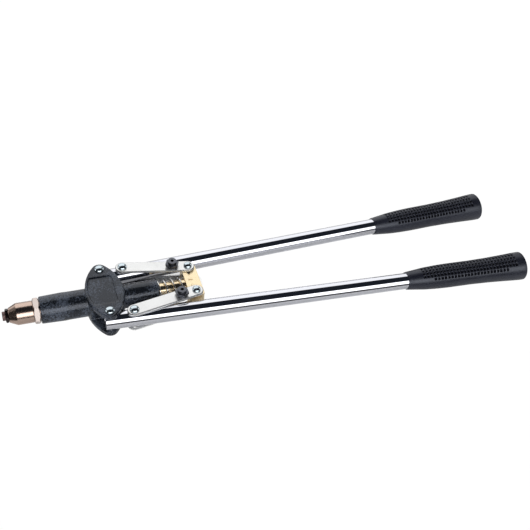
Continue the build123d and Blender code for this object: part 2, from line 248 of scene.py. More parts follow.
class RiveterColours(bpy.types.PropertyGroup):
    """Base colours of the finishes."""

    casting: colour_property("Casting", "Textured black paint", (0.010, 0.012, 0.016))
    grip: colour_property("Grip", "Soft charcoal plastic", (0.010, 0.011, 0.019))
    chrome: colour_property("Chrome", "Polished tubes", (0.72, 0.73, 0.78))
    nickel: colour_property("Sleeve", "Warm satin nickel", (0.58, 0.44, 0.37))
    nut: colour_property("Lock nut", "Pale satin nickel", (0.66, 0.575, 0.535))
    zinc: colour_property("Zinc", "Bright rivet heads", (0.60, 0.69, 0.74))
    link: colour_property("Links", "Matte white zinc plate", (0.86, 0.865, 0.86))
    yellow: colour_property("Yoke", "Pale yellow zinc plate", (0.95, 0.79, 0.52))
    gold: colour_property("Rod", "Gold zinc plate", (0.92, 0.74, 0.49))
    # oxide and nose are one black oxide in two shades, painted light and shade: the spare
    # nosepieces' copy is lighter and the working nosepiece's darker
    oxide: colour_property("Oxide", "Black oxide nosepieces", (0.105, 0.11, 0.125))
    nose: colour_property("Working nosepiece", "Hot, oily black oxide", (0.045, 0.037, 0.037))
    wire: colour_property("Spring", "Bright drawn wire", (0.86, 0.86, 0.85))
    steel: colour_property("Steel", "Inner parts", (0.72, 0.71, 0.69))


# ---------------------------------------------------------------- places


def matrix_to(x, y, z=0.0, turn=0.0):
    """Place of a piece: moved to a point in metres and turned about the vertical."""
    return Matrix.Translation((x, y, z)) @ Matrix.Rotation(turn, 4, "Z")


def pivot(side_name):
    """Point where a handle turns, in metres."""
    return Vector(JOINTS[f"{side_name}_handle_swing"]["pos_m"])


def link_pin(side_name):
    """Point where a link pair turns on its handle, in metres."""
    return Vector(JOINTS[f"{side_name}_link_swing"]["pos_m"])


def box_centre(node):
    """Middle of a CAD node's box, in metres."""
    low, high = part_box(node)
    return (low + high) / 2


def handle_place(side_name):
    """Place whose origin is the handle's pivot and whose X runs along the tube."""
    start, pin = pivot(side_name), link_pin(side_name)
    return matrix_to(start.x, start.y, 0.0, math.atan2(pin.y - start.y, pin.x - start.x))


def link_place(side_name):
    """Place whose origin is the yoke rivet and whose X runs to the link rivet, and its length."""
    start, pin = box_centre(f"{side_name}_yoke_rivet"), link_pin(side_name)
    run = pin - start
    return matrix_to(start.x, start.y, 0.0, math.atan2(run.y, run.x)), run.xy.length / MM


def reach_along(node, place):
    """Where a CAD node starts and ends along a place's X, in millimetres."""
    back = place.inverted()
    along = [(back @ vertex.co).x / MM for vertex in frame["nodes"][node].data.vertices]
    return min(along), max(along)


UPRIGHT = Matrix(((0, 1, 0, 0), (0, 0, 1, 0), (1, 0, 0, 0), (0, 0, 0, 1)))


# ---------------------------------------------------------------- surfaces


def new_object(name, data):
    """Object in the scene's own collection."""
    thing = bpy.data.objects.new(name, data)
    bpy.context.scene.collection.objects.link(thing)
    return thing


def tidy_mesh(mesh, sharp_degrees):
    """Closes poles and seams, points the faces outwards and shades by angle."""
    work = bmesh.new()
    work.from_mesh(mesh)
    bmesh.ops.remove_doubles(work, verts=work.verts, dist=2e-6)
    bmesh.ops.dissolve_degenerate(work, dist=1e-7, edges=work.edges)
    bmesh.ops.recalc_face_normals(work, faces=work.faces)
    work.to_mesh(mesh)
    work.free()
    mesh.shade_smooth()
    mesh.set_sharp_from_angle(angle=math.radians(sharp_degrees))


def grid_surface(name, points, wrap_rows=False, sharp_degrees=38.0, marks=None):
    """Closed mesh object from a grid of points in metres. Columns always wrap round; rows may. A
    grid of marks from 0 to 1 may say how far each point has the finish's second colour."""
    rows, columns = points.shape[:2]
    index = np.arange(rows * columns).reshape(rows, columns)
    index = np.hstack([index, index[:, :1]])
    if wrap_rows:
        index = np.vstack([index, index[:1]])
    corners = (index[:-1, :-1], index[1:, :-1], index[1:, 1:], index[:-1, 1:])
    quads = np.stack(corners, axis=-1).reshape(-1, 4)
    mesh = bpy.data.meshes.new(name)
    mesh.vertices.add(rows * columns)
    mesh.vertices.foreach_set("co", points.astype(np.float32).ravel())
    mesh.loops.add(quads.size)
    mesh.loops.foreach_set("vertex_index", quads.astype(np.int32).ravel())
    mesh.polygons.add(len(quads))
    mesh.polygons.foreach_set("loop_start", np.arange(0, quads.size, 4, dtype=np.int32))
    mesh.update(calc_edges=True)
    mesh.validate()
    if marks is not None:
        values = mesh.attributes.new("marks", "FLOAT", "POINT").data
        values.foreach_set("value", marks.astype(np.float32).ravel())
    tidy_mesh(mesh, sharp_degrees)
    return new_object(name, mesh)


def placed(points, place):
    """Points in millimetres carried to the row frame in metres: matrix times point."""
    turn = np.array(place.to_3x3())
    return points @ (turn.T * MM) + np.array(place.translation)


def rounded(corners, radius, closed=True):
    """Polyline with each corner replaced by a quadratic curve: (1-t)^2 a + 2t(1-t) p + t^2 b, where
    a and b lie radius before and after the corner p, or less on a short run. One more point beside
    each end keeps flat faces flat."""
    most_of_run, guard = 0.48, 1.35
    p = np.asarray(corners, float)
    before, after = np.roll(p, 1, axis=0) - p, np.roll(p, -1, axis=0) - p
    if not closed:
        before[0], after[-1] = 0, 0
    t = np.linspace(0, 1, 5)[None, :, None]

    def step_towards(run, share):
        length = np.linalg.norm(run, axis=1, keepdims=True)
        reach = np.minimum(radius * share, most_of_run * length)
        return (p + run / np.maximum(length, 1e-9) * reach)[:, None]

    a, b = step_towards(before, 1.0), step_towards(after, 1.0)
    curve = (1 - t) ** 2 * a + 2 * t * (1 - t) * p[:, None] + t**2 * b
    out = np.concatenate([step_towards(before, guard), curve, step_towards(after, guard)], axis=1)
    if not closed:
        out[0], out[-1] = p[0], p[-1]
    return out.reshape(-1, 2)


def ring_angles(steps):
    """Even angles round a full turn."""
    return np.linspace(0, 2 * math.pi, steps, endpoint=False)


def revolved(along, radius, v):
    """Points (along, r cos v, r sin v) for a grid of radii."""
    along = np.broadcast_to(along[:, None], radius.shape)
    return np.stack([along, radius * np.cos(v), radius * np.sin(v)], axis=-1)


def turned(name, profile, place, steps, loop=True):
    """Surface of revolution: a profile (along, r) gives the points (along, r cos v, r sin v)."""
    along, r = np.asarray(profile, float).T
    points = revolved(along, np.tile(r[:, None], (1, steps)), ring_angles(steps))
    return grid_surface(name, placed(points, place), wrap_rows=loop)


def hexagon_r(flats, v, turn):
    """Radius of a hexagon at angle v: half its flats over the cosine of the angle to a flat."""
    sixth = math.pi / 3
    from_flat = np.mod(v - turn, sixth) - sixth / 2
    return flats / 2 / np.cos(from_flat)


def hex_turned(name, profile, cut, flats, turn, place, steps, marks=None):
    """Turned surface whose cut rows are r = min(profile r, hexagon r). Marks are by row."""
    v = ring_angles(steps)
    along, r = np.asarray(profile, float).T
    radius = np.tile(r[:, None], (1, steps))
    radius[cut] = np.minimum(radius[cut], hexagon_r(flats, v, turn))
    if marks is not None:
        marks = np.broadcast_to(marks[:, None], radius.shape)
    points = placed(revolved(along, radius, v), place)
    return grid_surface(name, points, wrap_rows=True, sharp_degrees=24.0, marks=marks)


def slab(name, outline, normals, low, high, edge, place):
    """Plate with rounded edges: its outline is moved in by edge (1 - sin t) while z runs edge
    (1 - cos t) from each face, and each face is a fan to the outline's middle. The rows beside
    each edge are marked for a painted dark line of shade."""
    t = np.linspace(0, math.pi / 2, 4)
    guard = edge * 1.6
    inset = edge * (1 - np.sin(t))
    rise = edge * (1 - np.cos(t))
    levels = np.concatenate([[low, low], low + rise, (high - rise)[::-1], [high, high]])
    insets = np.concatenate([[0, guard], inset, inset[::-1], [guard, 0]])
    rings = outline[None] - normals[None] * insets[:, None, None]
    rings[[0, -1]] = outline.mean(axis=0)
    heights = np.broadcast_to(levels[:, None, None], (*rings.shape[:2], 1))
    # Rows marked for a painted dark line of shade along each rounded edge
    painted_edge_rows = np.zeros(rings.shape[:2])
    painted_edge_rows[3] = 1
    painted_edge_rows[-5:-3] = 1
    points = placed(np.concatenate([rings, heights], axis=2), place)
    return grid_surface(name, points, marks=painted_edge_rows)


def stadium(length, radius):
    """Outline of a bar with round ends about (0, 0) and (length, 0), with its outward normals."""
    steps = 28
    v = np.linspace(-math.pi / 2, math.pi / 2, steps)
    cap = np.stack([np.cos(v), np.sin(v)], axis=1)
    normals = np.concatenate([cap, -cap])
    centres = np.concatenate([np.tile((length, 0.0), (steps, 1)), np.zeros((steps, 2))])
    return centres + radius * normals, normals


def merged_copy(node):
    """Copy of a CAD node's mesh, and a bmesh of it with the loose triangles joined."""
    mesh = frame["nodes"][node].data.copy()
    mesh.materials.clear()
    work = bmesh.new()
    work.from_mesh(mesh)
    bmesh.ops.remove_doubles(work, verts=work.verts, dist=1e-6)
    return mesh, work


def softened_copy(node, name, voxel, smooth_turns):
    """Merged copy of a CAD node, remeshed in even voxels and smoothed, so that its edges round as
    cast ones do."""
    mesh, work = merged_copy(node)
    work.to_mesh(mesh)
    work.free()
    source = new_object(name + "_source", mesh)
    remesh = source.modifiers.new("even", "REMESH")
    remesh.mode = "VOXEL"
    remesh.voxel_size = voxel
    smooth = source.modifiers.new("soft", "SMOOTH")
    smooth.factor = 0.5
    smooth.iterations = smooth_turns
    bpy.context.view_layer.update()
    shaped = source.evaluated_get(bpy.context.evaluated_depsgraph_get())
    final = bpy.data.meshes.new_from_object(shaped)
    bpy.data.objects.remove(source)
    final.name = name
    final.shade_smooth()
    return new_object(name, final)


def bevelled_copy(node, name, width):
    """Merged copy of a CAD node whose flat faces are made whole. A bevel runs along its outer sharp
    edges, which are those near the sides of its box, and leaves the edges of its holes."""
    side_margin, sharp_angle = 0.6 * MM, math.radians(40)
    mesh, work = merged_copy(node)
    low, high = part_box(node)
    flat = math.radians(1)
    bmesh.ops.dissolve_limit(work, angle_limit=flat, verts=work.verts, edges=work.edges)
    weight = work.edges.layers.float.new("bevel_weight_edge")
    for edge in work.edges:
        middle = (edge.verts[0].co + edge.verts[1].co) / 2
        inside = min(*(middle - low).xy, *(high - middle).xy)
        sharp = edge.is_manifold and edge.calc_face_angle() > sharp_angle
        edge[weight] = 1.0 if sharp and inside < side_margin else 0.0
    work.to_mesh(mesh)
    work.free()
    mesh.shade_smooth()
    mesh.set_sharp_from_angle(angle=math.radians(30))
    piece = new_object(name, mesh)
    bevel = piece.modifiers.new("edges", "BEVEL")
    bevel.width = width
    bevel.segments = 3
    bevel.limit_method = "WEIGHT"
    piece.modifiers.new("flat_faces", "WEIGHTED_NORMAL").weight = 100
    return piece


# ---------------------------------------------------------------- shader nodes


EFFECT_OUTPUTS = (
    ("Colour", "NodeSocketColor"),
    ("Roughness", "NodeSocketFloat"),
    ("Height", "NodeSocketFloat"),
)


def new_group(name, inputs):
    """Shader node group with named sockets, which puts out colour, roughness and height. Each
    input is (name, kind, default)."""
    group = bpy.data.node_groups.new(name, "ShaderNodeTree")
    for label, kind, default in inputs:
        socket = group.interface.new_socket(name=label, in_out="INPUT", socket_type=kind)
        socket.default_value = default
    for label, kind in EFFECT_OUTPUTS:
        group.interface.new_socket(name=label, in_out="OUTPUT", socket_type=kind)
    return group, group.nodes.new("NodeGroupInput").outputs, group.nodes.new("NodeGroupOutput")


def feed(tree, value, socket):
    """Links a socket to another one, or sets it to a plain value."""
    if isinstance(value, bpy.types.NodeSocket):
        tree.links.new(value, socket)
    else:
        socket.default_value = value


def math_node(tree, operation, first, second, third=0.5):
    """Math node whose inputs are sockets or numbers. Only MULTIPLY_ADD reads the third."""
    node = tree.nodes.new("ShaderNodeMath")
    node.operation = operation
    for place, value in enumerate((first, second, third)):
        feed(tree, value, node.inputs[place])
    return node.outputs[0]


def noise_of(tree, scale, detail, stretch=(1, 1, 1)):
    """Noise over the piece's own coordinates, stretched by a mapping."""
    place = tree.nodes.new("ShaderNodeTexCoord")
    mapping = tree.nodes.new("ShaderNodeMapping")
    mapping.inputs["Scale"].default_value = stretch
    noise = tree.nodes.new("ShaderNodeTexNoise")
    noise.inputs["Detail"].default_value = detail
    tree.links.new(place.outputs["Object"], mapping.inputs["Vector"])
    tree.links.new(mapping.outputs["Vector"], noise.inputs["Vector"])
    tree.links.new(scale, noise.inputs["Scale"])
    return noise.outputs["Fac"]


def varied_value(tree, source, middle, spread):
    """middle + (source - 0.5) * spread."""
    centred = math_node(tree, "SUBTRACT", source, 0.5)
    swung = math_node(tree, "MULTIPLY", centred, spread)
    return math_node(tree, "ADD", middle, swung)


def mixed_colour(tree, factor, first, second):
    """Colour between two sockets or colours by a factor."""
    mix = tree.nodes.new("ShaderNodeMix")
    mix.data_type = "RGBA"
    tree.links.new(factor, mix.inputs["Factor"])
    feed(tree, first, mix.inputs[6])
    feed(tree, second, mix.inputs[7])
    return mix.outputs[2]


def grain_group():
    """Fine grain of a cast, painted or moulded surface: colour, roughness and height from two
    noises. The worn colour's share is clamp(least + (2 fine broad - 0.5) contrast)."""
    group, given, out = new_group(
        "surface_grain",
        (
            ("Colour", "NodeSocketColor", (0.5, 0.5, 0.5, 1)),
            ("Worn Colour", "NodeSocketColor", (0.6, 0.6, 0.6, 1)),
            ("Fine Scale", "NodeSocketFloat", 1500.0),
            ("Broad Scale", "NodeSocketFloat", 60.0),
            ("Contrast", "NodeSocketFloat", 0.5),
            ("Roughness", "NodeSocketFloat", 0.5),
            ("Roughness Spread", "NodeSocketFloat", 0.2),
        ),
    )
    least_worn = 0.3
    fine = noise_of(group, given["Fine Scale"], 3.0)
    broad = noise_of(group, given["Broad Scale"], 4.0)
    blend = math_node(group, "MULTIPLY", math_node(group, "MULTIPLY", fine, broad), 2.0)
    mask = varied_value(group, blend, least_worn, given["Contrast"])
    mask.node.use_clamp = True
    colour = mixed_colour(group, mask, given["Colour"], given["Worn Colour"])
    rough = varied_value(group, broad, given["Roughness"], given["Roughness Spread"])
    group.links.new(colour, out.inputs["Colour"])
    group.links.new(rough, out.inputs["Roughness"])
    group.links.new(fine, out.inputs["Height"])
    return group


def machining_group():
    """Fine lines that a tool or a draw plate leaves: noise stretched across one direction, and soft
    smudges."""
    group, given, out = new_group(
        "machining_marks",
        (
            ("Colour", "NodeSocketColor", (0.5, 0.5, 0.5, 1)),
            ("Smudge Colour", "NodeSocketColor", (0.4, 0.4, 0.4, 1)),
            ("Line Scale", "NodeSocketFloat", 900.0),
            ("Smudge Scale", "NodeSocketFloat", 40.0),
            ("Smudge", "NodeSocketFloat", 0.3),
            ("Roughness", "NodeSocketFloat", 0.2),
            ("Roughness Spread", "NodeSocketFloat", 0.1),
        ),
    )
    lines = noise_of(group, given["Line Scale"], 2.0, (1.0, 0.03, 0.03))
    smudges = noise_of(group, given["Smudge Scale"], 5.0)
    mask = math_node(group, "MULTIPLY", smudges, given["Smudge"])
    colour = mixed_colour(group, mask, given["Colour"], given["Smudge Colour"])
    both = math_node(group, "MULTIPLY", math_node(group, "ADD", lines, smudges), 0.5)
    rough = varied_value(group, both, given["Roughness"], given["Roughness Spread"])
    group.links.new(colour, out.inputs["Colour"])
    group.links.new(rough, out.inputs["Roughness"])
    group.links.new(lines, out.inputs["Height"])
    return group


GROUP_MAKERS = {"surface_grain": grain_group, "machining_marks": machining_group}
GROUPS = {}


def group_named(name):
    """A shared node group, made the first time that it is asked for."""
    if name not in GROUPS:
        GROUPS[name] = GROUP_MAKERS[name]()
    return GROUPS[name]


# ---------------------------------------------------------------- materials


COOL_SHINE = (0.84, 0.89, 1.0, 1.0)
MARK_ROUGHNESS = 0.3
SMUDGE_SHADE = 0.72


def scaled(colour, factor):
    """Colour times a factor, with alpha 1."""
    return (*(min(1.0, channel * factor) for channel in colour), 1.0)


def finish_material(name, effect, values, shader_values, bump=None, marked=None):
    """Material with one effect group that feeds a Principled BSDF, and a bump (strength, depth)
    from the group's height. Where the piece has marks, the surface may go to a second colour,
    metallic and duller. That colour is painted light: shade on the grips and the links, and a
    highlight on the nose tip."""
    material = bpy.data.materials.new(name)
    material.use_nodes = True
    tree = material.node_tree
    shader = tree.nodes["Principled BSDF"]
    node = tree.nodes.new("ShaderNodeGroup")
    node.node_tree = group_named(effect)
    for label, value in values.items():
        node.inputs[label].default_value = value
    for label, value in shader_values.items():
        shader.inputs[label].default_value = value
    colour, rough = node.outputs["Colour"], node.outputs["Roughness"]
    if marked:
        attribute = tree.nodes.new("ShaderNodeAttribute")
        attribute.attribute_name = "marks"
        marks = attribute.outputs["Fac"]
        rough = math_node(tree, "MULTIPLY_ADD", marks, MARK_ROUGHNESS, rough)
        # Marks set Metallic, so that a near-black mark reflects almost nothing: painted shade
        if not shader_values.get("Metallic"):
            tree.links.new(marks, shader.inputs["Metallic"])
        colour = mixed_colour(tree, marks, colour, (*marked, 1))
    tree.links.new(colour, shader.inputs["Base Color"])
    tree.links.new(rough, shader.inputs["Roughness"])
    if bump:
        relief = tree.nodes.new("ShaderNodeBump")
        relief.inputs["Strength"].default_value = bump[0]
        relief.inputs["Distance"].default_value = bump[1] * MM
        tree.links.new(node.outputs["Height"], relief.inputs["Height"])
        tree.links.new(relief.outputs["Normal"], shader.inputs["Normal"])
    return material


def plated(name, colour, roughness, smudge, spread, line_bump=0.0, metallic=1.0, shade=1.0):
    """Metal plate or polish with faint tool lines and smudges."""
    values = {
        "Colour": scaled(colour, shade),
        "Smudge Colour": scaled(colour, shade * SMUDGE_SHADE),
        "Smudge": smudge,
        "Roughness": roughness,
        "Roughness Spread": spread,
    }
    bump = (line_bump, 0.05) if line_bump else None
    return finish_material(name, "machining_marks", values, {"Metallic": metallic}, bump)


def coated(
    name,
    colour,
    worn,
    roughness,
    fine,
    bump,
    metallic=0.0,
    contrast=0.8,
    spread=0.25,
    gloss=0.5,
    marked=None,
):
    """Painted, moulded or blackened surface with a fine grain."""
    values = {
        "Colour": scaled(colour, 1.0),
        "Worn Colour": scaled(colour, worn),
        "Fine Scale": fine,
        "Contrast": contrast,
        "Roughness": roughness,
        "Roughness Spread": spread,
    }
    shine = {"Metallic": metallic, "Specular IOR Level": gloss}
    if not metallic:
        shine["Specular Tint"] = COOL_SHINE
    return finish_material(name, "surface_grain", values, shine, bump, marked)


# Second colours, where a piece has marks. All are painted light: shade in the grip dimples,
# a dark line of shade along the link edges and a warm highlight on the nose tip
# Painted shade in the grip dimples: near black, and made metallic by the marks so that it reflects
# almost nothing
PAINTED_DIMPLE_SHADE = (0.010, 0.010, 0.014)
# Painted shade: a dark grey line along the links' rounded edges
PAINTED_EDGE_SHADE = (0.3, 0.31, 0.32)
# Painted highlight: warm light on the working nosepiece's tip, standing for the front strip's
# reflection
PAINTED_TIP_HIGHLIGHT = (0.24, 0.17, 0.165)

# Each finish: the colour it takes and its maker. Coated ones follow with worn shade, roughness,
# grain scale and bump, and plated ones with roughness, smudge and roughness spread.
FINISHES = {
    "black_casting": (
        "casting",
        coated,
        (8.0, 0.22, 680, (0.7, 0.28)),
        {"contrast": 4.5, "gloss": 0.56},
    ),
    "grip_plastic": (
        "grip",
        coated,
        (2.0, 0.36, 2200, (0.3, 0.12)),
        {"gloss": 0.65, "marked": PAINTED_DIMPLE_SHADE},
    ),
    "black_oxide": ("oxide", coated, (1.6, 0.33, 900, (0.1, 0.08)), {"metallic": 1.0}),
    "nose_oxide": (
        "nose",
        coated,
        (1.5, 0.3, 900, (0.1, 0.05)),
        {"metallic": 1.0, "marked": PAINTED_TIP_HIGHLIGHT},
    ),
    "matte_zinc": (
        "link",
        coated,
        (0.85, 0.32, 700, (0.05, 0.02)),
        {"metallic": 0.85, "spread": 0.1, "marked": PAINTED_EDGE_SHADE},
    ),
    "chrome_tube": ("chrome", plated, (0.05, 0.1, 0.04), {}),
    "satin_nickel": ("nickel", plated, (0.2, 0.3, 0.1), {"line_bump": 0.12}),
    "nickel_nut": ("nut", plated, (0.28, 0.2, 0.1), {}),
    "bright_zinc": ("zinc", plated, (0.16, 0.3, 0.12), {}),
    "yellow_zinc": ("yellow", plated, (0.28, 0.3, 0.14), {"metallic": 0.9}),
    "dark_zinc": ("yellow", plated, (0.3, 0.4, 0.1), {"shade": 0.9}),
    "gold_rod": ("gold", plated, (0.2, 0.3, 0.1), {"line_bump": 0.1}),
    "spring_steel": ("wire", plated, (0.14, 0.2, 0.08), {}),
    "bare_steel": ("steel", plated, (0.35, 0.4, 0.1), {"line_bump": 0.1}),
}
MATERIALS = {}


def material_for(slot, colours):
    """A finish by its name, made once."""
    if slot not in MATERIALS:
        colour, maker, settings, options = FINISHES[slot]
        MATERIALS[slot] = maker(slot, getattr(colours, colour), *settings, **options)
    return MATERIALS[slot]


def dress(piece, slot, body, *nodes, finish=None):
    """Gives a new piece its finish and its body, and hides the CAD nodes that it stands for."""
    piece.data.materials.clear()
    piece.data.materials.append(material_for(finish or slot, bpy.context.scene.riveter_colours))
    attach(piece, body)
    if nodes:
        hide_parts(*nodes)
    return piece


def dress_node(node, slot):
    """Gives a CAD node that stays in view its finish."""
    piece = frame["nodes"][node]
    if not piece.material_slots:
        piece.data.materials.append(None)
    for place in piece.material_slots:
        place.material = material_for(slot, bpy.context.scene.riveter_colours)


# ---------------------------------------------------------------- pieces


def nosepiece_surface(name, place, turn, length, steps):
    """Nosepiece along its own X: tip, wrench hexagon, round collar and shank about a plain bore.
    The shank's rings are r = thread r - depth (1 + cos 2 pi x) / 2. The tip is marked for a painted
    warm highlight."""
    hex_start, hex_end = TIP_LENGTH, TIP_LENGTH + HEX_LENGTH
    collar_end = hex_end + COLLAR_LENGTH
    hex_x = np.linspace(hex_start, hex_end, 16)
    from_end = np.minimum(hex_x - hex_start, hex_end - hex_x)
    chamfer_r = HEX_FLATS / 2 - HEX_CHAMFER + from_end / math.tan(HEX_CHAMFER_ANGLE)
    hex_r = np.minimum(chamfer_r, HEX_FLATS / math.sqrt(3))
    tip = [(0, NOSE_BORE_R), (0, TIP_R), (hex_start, TIP_R)]
    thread_x = np.linspace(collar_end + THREAD_RELIEF, length, 60)
    thread_r = THREAD_R - THREAD_DEPTH * (0.5 + 0.5 * np.cos(thread_x * 2 * math.pi))
    parts = (
        np.vstack([[(0.5, NOSE_BORE_R - 0.02)], rounded(tip, CUT_EDGE, closed=False)]),
        np.stack([hex_x, hex_r], axis=1),
        [
            (hex_end, COLLAR_R - COLLAR_CHAMFER[1]),
            (hex_end + COLLAR_CHAMFER[0], COLLAR_R),
            (collar_end, COLLAR_R),
            (collar_end, THREAD_R),
        ],
        np.stack([thread_x, thread_r], axis=1),
        [(length, NOSE_BORE_R)],
    )
    part_of_row = np.repeat(np.arange(len(parts)), [len(part) for part in parts])
    # The tip's rows are marked for a painted warm highlight
    worn, cut = (part_of_row == 0).astype(float), part_of_row == 1
    return hex_turned(name, np.vstack(parts), cut, HEX_FLATS, turn, place, steps, worn)


class RIVETER_OT_front_end(bpy.types.Operator):
    """Build the nosepiece, the sleeve and the lock nut"""

    bl_idname = "riveter.front_end"
    bl_label = "Front End"

    def execute(self, context):
        sizes = context.scene.riveter_sizes
        steps = sizes.round_steps
        barrel = Matrix.Identity(4)
        nose_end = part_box("nosepiece")[1].x / MM
        nose = nosepiece_surface("nosepiece_surface", barrel, NOSE_TURN, nose_end, steps)
        dress(nose, "black_oxide", "head", "nosepiece", finish="nose_oxide")
        shank_end, body_r = (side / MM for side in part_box("front_sleeve")[1].xy)
        nut_front, nut_rear = (corner.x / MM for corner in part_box("lock_nut"))
        rear, seat = nut_front - CLEARANCE, nose_end + SEAT_GAP
        corners = [
            (SLEEVE_CONE[0][0], COLLAR_R + CLEARANCE),
            SLEEVE_CONE[0],
            (SLEEVE_CONE[1][0], body_r),
            (rear, body_r),
            (rear, SLEEVE_SHANK_R),
            (shank_end, SLEEVE_SHANK_R),
            (shank_end, SLEEVE_BORE_R),
            (seat, SLEEVE_BORE_R),
            (seat, COLLAR_R + CLEARANCE),
        ]
        sleeve = turned("sleeve_surface", rounded(corners, sizes.edge_round / MM), barrel, steps)
        dress(sleeve, "satin_nickel", "head", "front_sleeve")
        nut = self.lock_nut(nut_front, nut_rear, barrel, 3 * steps)
        dress(nut, "nickel_nut", "head", "lock_nut")
        return {"FINISHED"}

    @staticmethod
    def lock_nut(front, rear, place, steps):
        """Hexagon whose corners are cut by a cone at each face, with a plain bore."""
        x = np.linspace(front, rear, 36)
        from_end = np.minimum(x - front, rear - x)
        cone_r = LOCK_NUT_FLATS / 2 - LOCK_NUT_CHAMFER + from_end * LOCK_NUT_CHAMFER_SLOPE
        outer = np.stack([x, np.minimum(cone_r, LOCK_NUT_FLATS / math.sqrt(3))], axis=1)
        profile = np.vstack([outer, [(rear, LOCK_NUT_BORE_R), (front, LOCK_NUT_BORE_R)]])
        cut = np.arange(len(profile)) < len(outer)
        name = "lock_nut_surface"
        return hex_turned(name, profile, cut, LOCK_NUT_FLATS, LOCK_NUT_TURN, place, steps)


class RIVETER_OT_head(bpy.types.Operator):
    """Build the cast head with its barrels, side plates and blank label recess"""

    bl_idname = "riveter.head"
    bl_label = "Cast Head"

    def execute(self, context):
        voxel = context.scene.riveter_sizes.cast_voxel
        head = softened_copy("head_casting", "head_casting_surface", voxel, 3)
        dress(head, "black_casting", "head", "head_casting")
        return {"FINISHED"}


class RIVETER_OT_rivets(bpy.types.Operator):
    """Build the six domed rivets"""

    bl_idname = "riveter.rivets"
    bl_label = "Domed Rivets"

    def execute(self, context):
        steps = context.scene.riveter_sizes.round_steps
        bodies = {"pivot": "head", "link": "{side}_links", "yoke": "{side}_links"}
        for side_name in SIDES:
            for kind, body in bodies.items():
                node = f"{side_name}_{kind}_rivet"
                low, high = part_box(node)
                centre = box_centre(node)
                place = matrix_to(centre.x, centre.y) @ UPRIGHT
                profile = self.profile(high.z / MM, (high.x - low.x) / MM / 2)
                rivet = turned(f"{node}_surface", profile, place, steps // 2, loop=False)
                dress(rivet, "bright_zinc", body.format(side=side_name), node)
        return {"FINISHED"}

    @staticmethod
    def profile(top, head_r):
        """Half an ellipse (h cos t, r sin t) on a low rim for each head, joined by the shank."""
        t = np.linspace(0, math.pi / 2, 12)
        under = top - RIVET_HEAD_HEIGHT
        dome_height = RIVET_HEAD_HEIGHT - RIVET_RIM
        dome_z = under + RIVET_RIM + dome_height * np.cos(t)
        rim = [
            (under + RIVET_RIM_CHAMFER, head_r),
            (under, head_r - RIVET_RIM_CHAMFER),
            (under, head_r * RIVET_SHANK_SHARE),
        ]
        half = np.vstack([np.stack([dome_z, head_r * np.sin(t)], axis=1), rim])
        return np.vstack([half, half[::-1] * (-1, 1)])


class RIVETER_OT_handles(bpy.types.Operator):
    """Build the two chromed handle tubes with their bushes"""

    bl_idname = "riveter.handles"
    bl_label = "Handle Tubes"

    def execute(self, context):
        steps = context.scene.riveter_sizes.round_steps
        inner = TUBE_R - TUBE_WALL
        for side_name in SIDES:
            node = f"{side_name}_handle_tube"
            place = handle_place(side_name)
            front, rear = reach_along(node, place)
            corners = [(front, inner), (front, TUBE_R), (rear, TUBE_R), (rear, inner)]
            tube = turned(f"{node}_surface", rounded(corners, CUT_EDGE), place, steps)
            dress(tube, "chrome_tube", f"{side_name}_handle", node)
            for kind in ("pivot", "link"):
                dress_node(f"{side_name}_{kind}_bush", "bare_steel")
        return {"FINISHED"}


